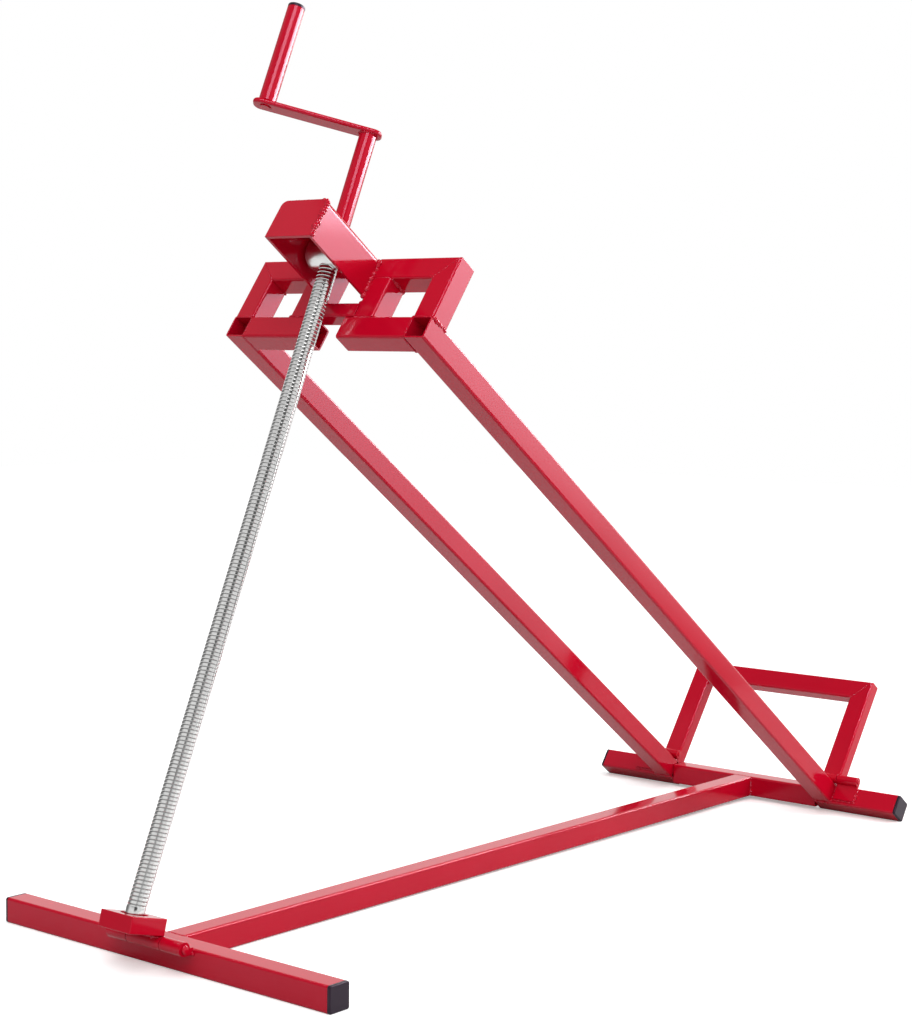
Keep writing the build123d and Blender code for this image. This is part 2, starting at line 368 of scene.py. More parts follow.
def bevel_edges(obj, chosen, offset, segments):
    """Round those edges of a piece whose two ends pass a test."""
    select_only(obj)
    bpy.ops.object.mode_set(mode="EDIT")
    bpy.ops.mesh.select_all(action="DESELECT")
    bpy.ops.object.mode_set(mode="OBJECT")
    corners = obj.data.vertices
    for edge in obj.data.edges:
        edge.select = chosen(*[corners[i].co for i in edge.vertices])
    bpy.ops.object.mode_set(mode="EDIT")
    bpy.ops.mesh.select_mode(type="EDGE")
    bpy.ops.mesh.bevel(offset=offset, segments=segments, affect="EDGES")
    bpy.ops.object.mode_set(mode="OBJECT")


def bar_z(radius, low, high, chamfer, sides=64):
    """Round bar along Z with chamfered ends."""
    deselect()
    bpy.ops.mesh.primitive_cylinder_add(
        vertices=sides, radius=radius, depth=high - low, location=(0.0, 0.0, (low + high) / 2))
    bar = bpy.context.object
    bpy.ops.object.transform_apply(location=True, rotation=True, scale=True)
    bevel_edges(bar, lambda start, end: abs(start.z - end.z) < chamfer, chamfer, 2)
    return bar


def pipe_z(outer, wall, low, high, rounding, sides=96):
    """Pipe along Z with rounded outer rims."""
    deselect()
    bpy.ops.mesh.primitive_cylinder_add(
        vertices=sides, radius=outer, depth=high - low, end_fill_type="NOTHING",
        location=(0.0, 0.0, (low + high) / 2))
    pipe = bpy.context.object
    bpy.ops.object.transform_apply(location=True, rotation=True, scale=True)
    shell = pipe.modifiers.new("wall", "SOLIDIFY")
    shell.thickness = wall
    shell.offset = -1.0
    shell.use_even_offset = True
    apply_modifiers(pipe)

    def on_rim(start, end):
        outside = min(start.xy.length, end.xy.length) > outer - wall / 2
        return outside and abs(start.z - end.z) < rounding

    bevel_edges(pipe, on_rim, rounding, 3)
    return pipe


def flat_bar(low, high, corner, edge):
    """Flat bar between two corners, with rounded corners and rolled round edges."""
    deselect()
    bpy.ops.mesh.primitive_cube_add(size=1.0, location=(low + high) / 2)
    bar = bpy.context.object
    bar.scale = high - low
    bpy.ops.object.transform_apply(location=True, rotation=True, scale=True)
    half = (high.z - low.z) / 2
    bevel_edges(bar, lambda start, end: abs(start.z - end.z) > half, corner, 10)
    bevel_edges(bar, lambda start, end: abs(start.z - end.z) < half, edge, 4)
    return bar


def drill_z(obj, x, radius):
    """Cut a round hole along Z through a piece."""
    deselect()
    bpy.ops.mesh.primitive_cylinder_add(
        vertices=48, radius=radius, depth=4.0, location=(x, 0.0, 0.0))
    cutter = bpy.context.object
    bpy.ops.object.transform_apply(location=True, rotation=True, scale=True)
    hole = obj.modifiers.new("hole", "BOOLEAN")
    hole.object = cutter
    apply_modifiers(obj)
    bpy.data.objects.remove(cutter, do_unlink=True)


class LiftScrewSettings(bpy.types.PropertyGroup):
    """Sizes of the screw thread."""

    pitch: bpy.props.FloatProperty(
        name="Pitch", description="Distance from one thread to the next",
        default=0.0045, unit="LENGTH")
    depth: bpy.props.FloatProperty(
        name="Depth", description="Depth of the thread", default=0.0007, unit="LENGTH")
    crest: bpy.props.FloatProperty(
        name="Crest", description="Width of the thread's flat crest", default=0.0027, unit="LENGTH")
    root: bpy.props.FloatProperty(
        name="Root", description="Width of the groove's flat bottom", default=0.0004, unit="LENGTH")
    sunk: bpy.props.FloatProperty(
        name="Sunk", description="How far the thread's foot lies in the core",
        default=0.0003, unit="LENGTH")
    plain_end: bpy.props.FloatProperty(
        name="Plain end", description="Smooth length above the block", default=0.008, unit="LENGTH")
    steps: bpy.props.IntProperty(
        name="Steps", description="Facets in each turn of the thread", default=28, min=12)


class LiftCrankSettings(bpy.types.PropertyGroup):
    """Sizes of the crank's turned pieces."""

    wall: bpy.props.FloatProperty(
        name="Wall", description="Wall of the shaft and the grip", default=0.0026, unit="LENGTH")
    rounding: bpy.props.FloatProperty(
        name="Rounding", description="Radius of their rims", default=0.0005, unit="LENGTH")
    corner: bpy.props.FloatProperty(
        name="Corner", description="Radius of the arm's corners", default=0.01, unit="LENGTH")
    rivet: bpy.props.FloatProperty(
        name="Rivet", description="Radius of the hole for the grip's pin",
        default=0.005, unit="LENGTH")


class LiftWeldSettings(bpy.types.PropertyGroup):
    """Sizes of the weld beads."""

    heavy: bpy.props.FloatProperty(
        name="Heavy bead", description="Radius of the beads on the nut housing",
        default=0.0034, unit="LENGTH")
    bead: bpy.props.FloatProperty(
        name="Bead", description="Radius of an ordinary weld bead", default=0.0026, unit="LENGTH")
    fine: bpy.props.FloatProperty(
        name="Fine bead", description="Radius of a bead that was ground down",
        default=0.0012, unit="LENGTH")
    step: bpy.props.FloatProperty(
        name="Step", description="Distance between drops, in bead radii", default=1.0, min=0.2)
    ragged: bpy.props.FloatProperty(
        name="Raggedness", description="How unevenly the beads are laid, in bead radii",
        default=0.7, min=0.0)


class LiftFinishSettings(bpy.types.PropertyGroup):
    """Colours of the finishes."""

    colour: bpy.props.FloatVectorProperty(
        name="Paint", description="Colour of the powder coat", subtype="COLOR", size=4,
        default=(0.535, 0.002, 0.019, 1.0))
    deep_colour: bpy.props.FloatVectorProperty(
        name="Thick paint", description="Colour where the coat is thicker", subtype="COLOR", size=4,
        default=(0.5, 0.002, 0.017, 1.0))
    roughness: bpy.props.FloatProperty(
        name="Paint roughness", description="Roughness of the powder coat",
        default=0.05, min=0.0, max=1.0)
    gloss: bpy.props.FloatProperty(
        name="Paint gloss", description="Strength of the coat's reflection seen head on",
        default=0.22, min=0.0)
    bead_gloss: bpy.props.FloatProperty(
        name="Bead gloss", description="The same on the weld beads, where the coat is thick",
        default=0.35, min=0.0)
    gloss_tint: bpy.props.FloatVectorProperty(
        name="Gloss tint", description="Cool tint of the coat's reflection",
        subtype="COLOR", size=4, default=(0.92, 0.75, 1.0, 1.0))
    edge: bpy.props.FloatProperty(
        name="Edge", description="Radius that the coat rounds sharp edges to",
        default=0.0007, unit="LENGTH")
    plastic_colour: bpy.props.FloatVectorProperty(
        name="Plastic", description="Colour of the caps", subtype="COLOR", size=4,
        default=(0.012, 0.008, 0.013, 1.0))
    plastic_haze: bpy.props.FloatVectorProperty(
        name="Plastic haze", description="Paler tone of the caps", subtype="COLOR", size=4,
        default=(0.019, 0.013, 0.02, 1.0))
    plastic_tint: bpy.props.FloatVectorProperty(
        name="Plastic tint", description="Tint of the caps' reflection", subtype="COLOR", size=4,
        default=(1.0, 0.7, 1.0, 1.0))
    zinc_colour: bpy.props.FloatVectorProperty(
        name="Zinc", description="Bright tone of the zinc plate", subtype="COLOR", size=4,
        default=(0.78, 0.78, 0.77, 1.0))
    zinc_shade: bpy.props.FloatVectorProperty(
        name="Zinc shade", description="Dull tone of the zinc plate", subtype="COLOR", size=4,
        default=(0.6, 0.6, 0.6, 1.0))
    # Painted shade: the dark colour blended into the thread's grooves.
    groove_painted_shade: bpy.props.FloatVectorProperty(
        name="Groove", description="Tone at the bottom of the thread", subtype="COLOR", size=4,
        default=(0.08, 0.08, 0.08, 1.0))


class LiftStageSettings(bpy.types.PropertyGroup):
    """Camera, lamps and floor."""

    camera_place: bpy.props.FloatVectorProperty(
        name="Camera", description="Where the camera stands", subtype="TRANSLATION",
        default=(1.69185, -1.55356, 0.67337))
    camera_angles: bpy.props.FloatVectorProperty(
        name="Camera angles", description="How the camera is turned", subtype="EULER",
        default=(math.radians(85.7495), math.radians(-0.8046), math.radians(39.6551)))
    lens: bpy.props.FloatProperty(
        name="Lens", description="Focal length in millimetres on a 36 mm high sensor",
        default=73.709)
    floor_colour: bpy.props.FloatVectorProperty(
        name="Floor", description="Colour of the floor", subtype="COLOR", size=4,
        default=(0.97, 0.97, 0.97, 1.0))
    floor_shade: bpy.props.FloatVectorProperty(
        name="Floor shade", description="Second tone of the floor", subtype="COLOR", size=4,
        default=(0.96, 0.96, 0.96, 1.0))
    floor_bounce: bpy.props.FloatVectorProperty(
        name="Floor bounce", description="Tone of the light that the floor throws back",
        subtype="COLOR", size=4, default=(0.5, 0.5, 0.5, 1.0))
    floor_lift: bpy.props.FloatProperty(
        name="Floor lift", description="How far the floor is lifted to white for the camera",
        default=0.33, min=0.0, max=1.0)
    ambient: bpy.props.FloatProperty(
        name="Ambient", description="Even light from all round", default=0.33, min=0.0)
    slant: bpy.props.FloatVectorProperty(
        name="Slant", description="How much lighter the studio is to the right, behind and above",
        default=(0.33, 0.04, 0.92))
    side_light: bpy.props.FloatProperty(
        name="Side box", description="Brightness of the soft box on the right",
        default=9.0, min=0.0)
    front_dim: bpy.props.FloatProperty(
        name="Front", description="What the gloss shows of the front of the studio",
        default=0.95, min=0.0)
    ceiling_dim: bpy.props.FloatProperty(
        name="Ceiling", description="What the gloss shows of the dark ceiling",
        default=0.2, min=0.0)
    gap: bpy.props.FloatVectorProperty(
        name="Gap", description="Direction of the tall dark gap above the camera",
        subtype="DIRECTION",
        default=(0.689, -0.548, 0.472))
    gap_dim: bpy.props.FloatProperty(
        name="Gap tone", description="What the gloss shows of the dark gap", default=0.1, min=0.0)
    left_dim: bpy.props.FloatProperty(
        name="Left", description="What the gloss shows of the studio's left side",
        default=0.25, min=0.0)
    panel_light: bpy.props.FloatProperty(
        name="Side panel", description="Brightness of the tall panel on the right, at its top",
        default=33.0, min=0.0)
    wide_light: bpy.props.FloatProperty(
        name="Wide box", description="Brightness of the wide box high behind", default=3.0, min=0.0)
    back_light: bpy.props.FloatProperty(
        name="Back box", description="Brightness of the box behind on the left",
        default=0.2, min=0.0)
    left_light: bpy.props.FloatProperty(
        name="Left box", description="Brightness of the box overhead on the left",
        default=0.35, min=0.0)
    key_light: bpy.props.FloatProperty(
        name="Key box", description="Brightness of the large soft box above the camera",
        default=3.4, min=0.0)
    front_light: bpy.props.FloatProperty(
        name="Front box", description="Brightness of the box over the front, which the gloss shows",
        default=10.0, min=0.0)


class LiftJackSettings(bpy.types.PropertyGroup):
    """All settings of the lift jack."""

    screw: bpy.props.PointerProperty(type=LiftScrewSettings)
    crank: bpy.props.PointerProperty(type=LiftCrankSettings)
    weld: bpy.props.PointerProperty(type=LiftWeldSettings)
    finish: bpy.props.PointerProperty(type=LiftFinishSettings)
    stage: bpy.props.PointerProperty(type=LiftStageSettings)


class LIFTJACK_OT_finishes(bpy.types.Operator):
    """Dress every CAD node in its finish"""

    bl_idname = "lift_jack.finishes"
    bl_label = "Finishes"

    def execute(self, context):
        settings = context.scene.lift_jack.finish
        paint_material("red_powder_coat", settings, settings.gloss, settings.edge)
        paint_material("red_pipe_coat", settings, settings.gloss, 0.0)
        paint_material("red_bead_coat", settings, settings.bead_gloss, 0.0)
        plastic_material(settings)
        zinc_material(settings)
        for part in frame["record"]["subparts"]:
            node = frame["nodes"][part["node"]]
            node.data.materials.clear()
            node.data.materials.append(finish_of(part["material_slot"]))
        return {"FINISHED"}


class LIFTJACK_OT_screw(bpy.types.Operator):
    """Model the screw with its thread and its two journals"""

    bl_idname = "lift_jack.screw"
    bl_label = "Screw"

    def execute(self, context):
        sizes = context.scene.lift_jack.screw
        bar_low, bar_high = SCREW.span("spindle")
        top = SCREW.span("crank_shaft")[0].z
        seat = SCREW.span("thrust_washer")[1].z
        radius = bar_high.x
        journal = SCREW.span("spindle_collar")[1].x / 2
        chamfer = 0.1 * radius
        clear, overlap = 0.0002, 0.001
        crest = 0.997 * radius
        thread = self.thread(sizes, crest, top)
        core = bar_z(radius - sizes.depth, 0.0, top, 0.5 * chamfer)
        plain = bar_z(radius, seat + clear, sizes.plain_end, chamfer)
        lower = bar_z(journal, bar_low.z, seat + overlap, 0.5 * chamfer)
        upper = bar_z(journal, top - overlap, bar_high.z, 0.5 * chamfer)
        select_only(thread, core, plain, lower, upper)
        bpy.ops.object.join()
        thread.matrix_world = SCREW.matrix
        finish = screw_material(context.scene.lift_jack.finish, radius, sizes.depth)
        settle(thread, "threaded_spindle", finish, "spindle")
        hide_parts("spindle")
        return {"FINISHED"}

    def thread(self, sizes, radius, top):
        """Sweep the closed profile of one thread up the screw and cap its two ends."""
        deselect()
        bpy.ops.mesh.primitive_plane_add(size=2.0)
        thread = bpy.context.object
        start = 0.4 * sizes.plain_end
        flank = (sizes.pitch - sizes.crest - sizes.root) / 2
        foot = radius - sizes.depth - sizes.sunk
        spread = sizes.crest / 2 + flank * (1.0 + sizes.sunk / sizes.depth)
        for vertex in thread.data.vertices:
            on_crest = vertex.co.x > 0
            reach, height = (radius, sizes.crest / 2) if on_crest else (foot, spread)
            vertex.co = (reach, 0.0, start + math.copysign(height, vertex.co.y))
        bpy.ops.object.mode_set(mode="EDIT")
        bpy.ops.mesh.select_all(action="SELECT")
        bpy.ops.mesh.delete(type="ONLY_FACE")
        bpy.ops.object.mode_set(mode="OBJECT")
        sweep = thread.modifiers.new("thread", "SCREW")
        sweep.screw_offset = sizes.pitch
        sweep.iterations = int((top - start - spread) / sizes.pitch)
        sweep.steps = sweep.render_steps = sizes.steps
        apply_modifiers(thread)
        self.cap_ends(thread)
        return thread

    def mark(self, obj, chosen):
        """Select only these vertices, in edit mode."""
        select_only(obj)
        bpy.ops.object.mode_set(mode="EDIT")
        bpy.ops.mesh.select_mode(type="VERT")
        bpy.ops.mesh.select_all(action="DESELECT")
        bpy.ops.object.mode_set(mode="OBJECT")
        for index in chosen:
            obj.data.vertices[index].select = True
        bpy.ops.object.mode_set(mode="EDIT")

    def cap_ends(self, thread):
        """Close the open loop at each end of the thread."""
        self.mark(thread, [])
        bpy.ops.mesh.select_non_manifold()
        bpy.ops.object.mode_set(mode="OBJECT")
        rims = [vertex.index for vertex in thread.data.vertices if vertex.select]
        heights = {index: thread.data.vertices[index].co.z for index in rims}
        middle = (min(heights.values()) + max(heights.values())) / 2
        for upper in (False, True):
            self.mark(thread, [index for index in rims if (heights[index] > middle) == upper])
            bpy.ops.mesh.edge_face_add()
        bpy.ops.mesh.select_all(action="SELECT")
        bpy.ops.mesh.normals_make_consistent(inside=False)
        bpy.ops.object.mode_set(mode="OBJECT")


class LIFTJACK_OT_crank(bpy.types.Operator):
    """Turn the crank's shaft and its grip, and roll its arm"""

    bl_idname = "lift_jack.crank"
    bl_label = "Crank"

    def execute(self, context):
        sizes = context.scene.lift_jack.crank
        coat = bpy.data.materials["red_pipe_coat"]
        for place, node, body in ((SCREW, "crank_shaft", "spindle"), (GRIP, "grip_sleeve", "grip")):
            low, high = place.span(node)
            radius = (high.y - low.y) / 2
            pipe = pipe_z(radius, sizes.wall, low.z, high.z, sizes.rounding)
            pipe.matrix_world = place.matrix
            settle(pipe, "turned_" + node, coat, body, smooth=12.0)
            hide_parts(node)
        reach = SCREW.inverse @ GRIP.matrix.translation
        along = SCREW.turned(math.atan2(reach.y, reach.x))
        low, high = along.span("crank_arm")
        rolled_edge = 0.44 * (high.z - low.z)
        bar = flat_bar(low, high, sizes.corner, rolled_edge)
        drill_z(bar, reach.xy.length, sizes.rivet)
        bar.matrix_world = along.matrix
        coat = finish_of("frame_paint")
        settle(bar, "rolled_crank_arm", coat, "spindle", smooth=10.0)
        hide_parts("crank_arm")
        return {"FINISHED"}


class Welder:
    """Lays weld beads, drop by drop, in a local frame of the object."""

    def __init__(self, place, sizes):
        self.place = place
        self.sizes = sizes
        self.lines = []
        self.chance = random.Random(BEAD_SEED)
        self.drop = self.make_drop()

    def make_drop(self):
        """A squat drop of weld metal, leaning back along the bead."""
        deselect()
        bpy.ops.mesh.primitive_uv_sphere_add(segments=8, ring_count=6, radius=1.0)
        drop = bpy.context.object
        bpy.ops.object.mode_set(mode="EDIT")
        bpy.ops.transform.resize(value=(0.85, 1.0, 1.0))
        bpy.ops.object.mode_set(mode="OBJECT")
        for vertex in drop.data.vertices:
            vertex.co.x -= 0.25 * vertex.co.z
        return drop

    def lay(self, start, end, radius):
        """Lay one straight bead."""
        start, run = Vector(start), Vector(end) - Vector(start)
        count = max(2, round(run.length / (self.sizes.step * radius)))
        line = self.drop.copy()
        line.data = self.drop.data.copy()
        COLLECTION.objects.link(line)
        turn = run.to_track_quat("X", "Z").to_matrix().to_4x4()
        size = Matrix.Scale(radius, 4)
        line.matrix_world = self.place.matrix @ Matrix.Translation(start) @ turn @ size
        row = line.modifiers.new("row", "ARRAY")
        row.count = count
        row.use_relative_offset = False
        row.use_constant_offset = True
        row.constant_offset_displace = (run.length / radius / (count - 1), 0.0, 0.0)
        apply_modifiers(line)
        self.roughen(line)
        self.lines.append(line)

    def roughen(self, line):
        """Give each drop of a bead its own size, a little off the line."""
        size = len(self.drop.data.vertices)
        vertices = list(line.data.vertices)
        for first in range(0, len(vertices), size):
            drop = vertices[first:first + size]
            middle = sum((vertex.co for vertex in drop), Vector()) / size
            grow = 1.0 + self.sizes.ragged * self.chance.uniform(-0.35, 0.35)
            shift = Vector([self.chance.uniform(-0.3, 0.3) for axis in range(3)])
            for vertex in drop:
                vertex.co = middle + grow * (vertex.co - middle) + self.sizes.ragged * shift

    def dab(self, place, radius, flat):
        """Set one round puddle of weld, flattened along X."""
        puddle = self.drop.copy()
        puddle.data = self.drop.data.copy()
        COLLECTION.objects.link(puddle)
        size = Matrix.Diagonal((flat * radius, radius, radius, 1.0))
        puddle.matrix_world = self.place.matrix @ Matrix.Translation(place) @ size
        swell = puddle.modifiers.new("swell", "SUBSURF")
        swell.levels = swell.render_levels = 1
        apply_modifiers(puddle)
        self.lines.append(puddle)

    def lay_both(self, start, end, radius):
        """Lay a bead on the right and its twin on the left."""
        self.lay(start, end, radius)
        mirror = Vector((-1.0, 1.0, 1.0))
        self.lay(Vector(start) * mirror, Vector(end) * mirror, radius)

    def finish(self, name, body):
        """Join the beads, make them ragged, paint them and let them ride."""
        bpy.data.objects.remove(self.drop)
        select_only(*self.lines)
        if len(self.lines) > 1:
            bpy.ops.object.join()
        beads = bpy.context.object
        bpy.ops.object.transform_apply(location=True, rotation=True, scale=True)
        grain = bpy.data.textures.new(name, "CLOUDS")
        grain.noise_scale = 2.0 * self.sizes.bead
        ragged = beads.modifiers.new("ragged", "DISPLACE")
        ragged.texture = grain
        ragged.strength = self.sizes.ragged * self.sizes.fine
        apply_modifiers(beads)
        coat = bpy.data.materials["red_bead_coat"]
        settle(beads, name, coat, body, smooth=60.0)


class LIFTJACK_OT_base_welds(bpy.types.Operator):
    """Lay the weld beads of the base"""

    bl_idname = "lift_jack.base_welds"
    bl_label = "Base welds"

    def execute(self, context):
        sizes = context.scene.lift_jack.weld
        bead, fine = sizes.bead, sizes.fine
        sink = SUNK_BEAD * bead
        welder = Welder(BASE, sizes)
        low, high = BASE.span("centre_tube")
        inset = BEAD_INSET * (high.x - low.x)
        for end, inward in ((low.y, 1.0), (high.y, -1.0)):
            welder.lay_both((high.x, end, low.z + inset), (high.x, end, high.z - inset), bead)
            top = (end - inward * fine, high.z - GROUND_BEAD * fine)
            welder.lay((low.x + inset, *top), (high.x - inset, *top), fine)
        foot_low, foot_high = BASE.span("front_foot_tube")
        strap_low, strap_high = BASE.span("right_foot_hinge_strap")
        front = foot_low.y
        for z, radius in ((strap_low.z + sink, bead), (foot_high.z - fine, fine)):
            welder.lay_both((strap_low.x, front, z), (strap_high.x, front, z), radius)
        pin_low, pin_high = BASE.span("foot_hinge_pin")
        middle = (pin_low + pin_high) / 2
        for end in (pin_low.x, pin_high.x):
            welder.dab((end, middle.y, middle.z), radius=2.1 * bead, flat=0.5)
        welder.finish("base_weld_beads", "base")
        return {"FINISHED"}


class LIFTJACK_OT_frame_welds(bpy.types.Operator):
    """Lay the weld beads of the lift frame, its head and the nut housing"""

    bl_idname = "lift_jack.frame_welds"
    bl_label = "Lift frame welds"

    def execute(self, context):
        sizes = context.scene.lift_jack.weld
        welder = Welder(LIFT, sizes)
        self.head(welder, sizes.bead, sizes.fine)
        self.housing(welder, sizes.heavy, sizes.bead)
        self.pivot(welder, sizes.bead)
        welder.finish("lift_frame_weld_beads", "lift_frame")
        return {"FINISHED"}

    def head(self, welder, bead, fine):
        """Beads round the posts, tubes and mitres of the head."""
        arm_low, arm_high = LIFT.span("right_lift_arm")
        post_low, post_high = LIFT.span("right_head_outer_post")
        inner_low, inner_high = LIFT.span("right_head_inner_post")
        top_low, top_high = LIFT.span("right_head_top_tube")
        front, back = post_low.y, post_high.y
        inset = BEAD_INSET * (back - front)
        sink = SUNK_BEAD * bead
        ground = GROUND_BEAD * fine
        lay = welder.lay_both
        floor_z = arm_high.z
        for y, radius in ((front + ground, fine), (back, bead)):
            lay((post_low.x + inset, y, floor_z), (post_high.x - inset, y, floor_z), radius)
        side = arm_high.x - sink
        lay((side, front + inset, floor_z - sink), (side, back - inset, floor_z - sink), bead)
        side = arm_low.x - sink
        for z, radius in ((arm_low.z + ground, fine), (arm_high.z - sink, bead)):
            lay((side, front + inset, z), (side, back - inset, z), radius)
        for y, radius in ((front + ground, fine), (back, bead)):
            lay((arm_low.x, y, arm_low.z + inset), (arm_low.x, y, arm_high.z - inset), radius)
        ceiling = top_low.z
        for x, z in ((inner_low.x, floor_z), (inner_high.x, floor_z), (inner_high.x, ceiling)):
            lay((x, front + inset, z), (x, back - inset, z), bead)
        for z, into in ((floor_z, -sink), (ceiling, sink)):
            for y, radius in ((front + GROUND_POST_BEAD * fine, fine), (back - sink, bead)):
                lay((inner_low.x + inset, y, z + into), (inner_high.x - inset, y, z + into), radius)
        for y in (front + ground, back - ground):
            lay((post_high.x - inset, y, top_high.z - inset), (post_low.x, y, top_low.z), fine)
        corner_x, corner_z = post_high.x - 0.6 * inset, top_high.z - 0.6 * inset
        lay((corner_x, front + inset, corner_z), (corner_x, back - inset, corner_z), fine)

    def housing(self, welder, heavy, bead):
        """Beads along the housing, its front plate and the brace."""
        house_low, house_high = LIFT.span("nut_housing")
        plate_low, plate_high = LIFT.span("housing_front_plate")
        brace_low, brace_high = LIFT.span("head_brace")
        front = LIFT.span("right_head_top_tube")[0].y
        thin = 0.4 * bead
        fold = 2.0 * (plate_high.y - plate_low.y)
        side, top = house_high.x - fold, house_high.z - fold
        turns = [math.radians(angle) for angle in (0.0, 30.0, 60.0, 90.0)]
        bend = [(side + fold * math.cos(turn), top + fold * math.sin(turn)) for turn in turns]
        welder.lay_both((house_high.x, front, house_low.z), (house_high.x, front, top), heavy)
        welder.lay_both((house_high.x, front, top), (bend[1][0], front, bend[1][1]), heavy)
        seam = plate_low.y + 0.5 * heavy
        edge = house_high.x - 0.2 * heavy
        welder.lay((edge, seam, house_low.z + heavy), (edge, seam, top), heavy)
        for sign, radius in ((1.0, 0.8 * heavy), (-1.0, thin)):
            for near, far in zip(bend, bend[1:]):
                welder.lay((sign * near[0], seam, near[1]), (sign * far[0], seam, far[1]), radius)
        welder.lay((-side, seam, house_high.z), (side, seam, house_high.z), thin)
        inner = plate_high.y
        welder.lay((-edge, inner, house_low.z + heavy), (-edge, inner, top), 0.5 * bead)
        end, back = brace_high.x, brace_high.y
        for z in (brace_low.z + SUNK_BEAD * bead, brace_high.z):
            welder.lay_both((end, front + bead, z), (end, back, z), bead)
        welder.lay_both((end, back, brace_low.z), (end, back, brace_high.z), bead)

    def pivot(self, welder, bead):
        """Beads where the arms and hinge straps sit on the stubs."""
        arm_low, arm_high = LIFT.span("right_lift_arm")
        stub_low, stub_high = LIFT.span("right_pivot_stub")
        strap_low, strap_high = LIFT.span("right_stop_hinge_strap")
        inset = BEAD_INSET * (arm_high.x - arm_low.x)
        sink = SUNK_BEAD * bead
        lay = welder.lay_both
        side, end = arm_high.x, arm_high.y
        lay((side, end, arm_low.z + inset), (side, end, arm_high.z - inset), bead)
        for z in (arm_low.z + sink, arm_high.z - sink):
            lay((arm_low.x + inset, end + sink, z), (side - inset, end + sink, z), bead)
        for x in (strap_low.x, strap_high.x):
            lay((x, stub_low.y, strap_low.z), (x, stub_low.y, stub_high.z - inset), bead)
        lay((strap_low.x, stub_low.y, strap_low.z), (strap_high.x, stub_low.y, strap_low.z), bead)


class LIFTJACK_OT_stop_welds(bpy.types.Operator):
    """Lay the weld beads of the folding stop frame"""

    bl_idname = "lift_jack.stop_welds"
    bl_label = "Stop frame welds"

    def execute(self, context):
        sizes = context.scene.lift_jack.weld
        welder = Welder(LIFT, sizes)
        leg_low, leg_high = LIFT.span("right_stop_leg")
        knuckle_low, knuckle_high = LIFT.span("right_stop_knuckle")
        bar_low, bar_high = LIFT.span("stop_top_bar")
        inset = BEAD_INSET * (leg_high.x - leg_low.x)
        ground = GROUND_BEAD * sizes.fine
        hinge = (knuckle_low.z + knuckle_high.z) / 2
        groove = 0.25 * (knuckle_high.z - knuckle_low.z)
        face = leg_low.y - SUNK_BEAD * sizes.bead
        for z in (hinge - groove, hinge + groove):
            welder.lay_both((leg_low.x + inset, face, z), (leg_high.x - inset, face, z), sizes.bead)
        for y in (leg_low.y + ground, leg_high.y - ground):
            outer = (bar_high.x - inset, y, bar_high.z - inset)
            welder.lay_both(outer, (leg_low.x, y, bar_low.z), sizes.fine)
        welder.finish("stop_frame_weld_beads", "stop_frame")
        return {"FINISHED"}


class LIFTJACK_OT_block_welds(bpy.types.Operator):
    """Lay the weld beads between the swivel block and its knuckle"""

    bl_idname = "lift_jack.block_welds"
    bl_label = "Block welds"

    def execute(self, context):
        sizes = context.scene.lift_jack.weld
        welder = Welder(BLOCK, sizes)
        low, high = BLOCK.span("block_knuckle")
        groove = 0.5 * high.z
        height = high.z - SUNK_BEAD * sizes.bead
        inset = 2.0 * sizes.bead
        welder.lay((low.x + inset, -groove, height), (high.x - inset, -groove, height), sizes.bead)
        welder.finish("block_weld_bead", "swivel_block")
        return {"FINISHED"}


class LIFTJACK_OT_crank_weld(bpy.types.Operator):
    """Lay the ring of weld that holds the crank arm on its shaft"""

    bl_idname = "lift_jack.crank_weld"
    bl_label = "Crank weld"

    def execute(self, context):
        sizes = context.scene.lift_jack.weld
        high = SCREW.span("crank_shaft")[1]
        welder = Welder(SCREW, sizes)
        sides = 24
        ring = high.x + 0.1 * sizes.bead
        for side in range(sides):
            turns = [2.0 * math.pi * step / sides for step in (side, side + 1)]
            corners = [(ring * math.cos(turn), ring * math.sin(turn), high.z) for turn in turns]
            welder.lay(*corners, 0.5 * sizes.bead)
        welder.finish("crank_weld_ring", "spindle")
        return {"FINISHED"}


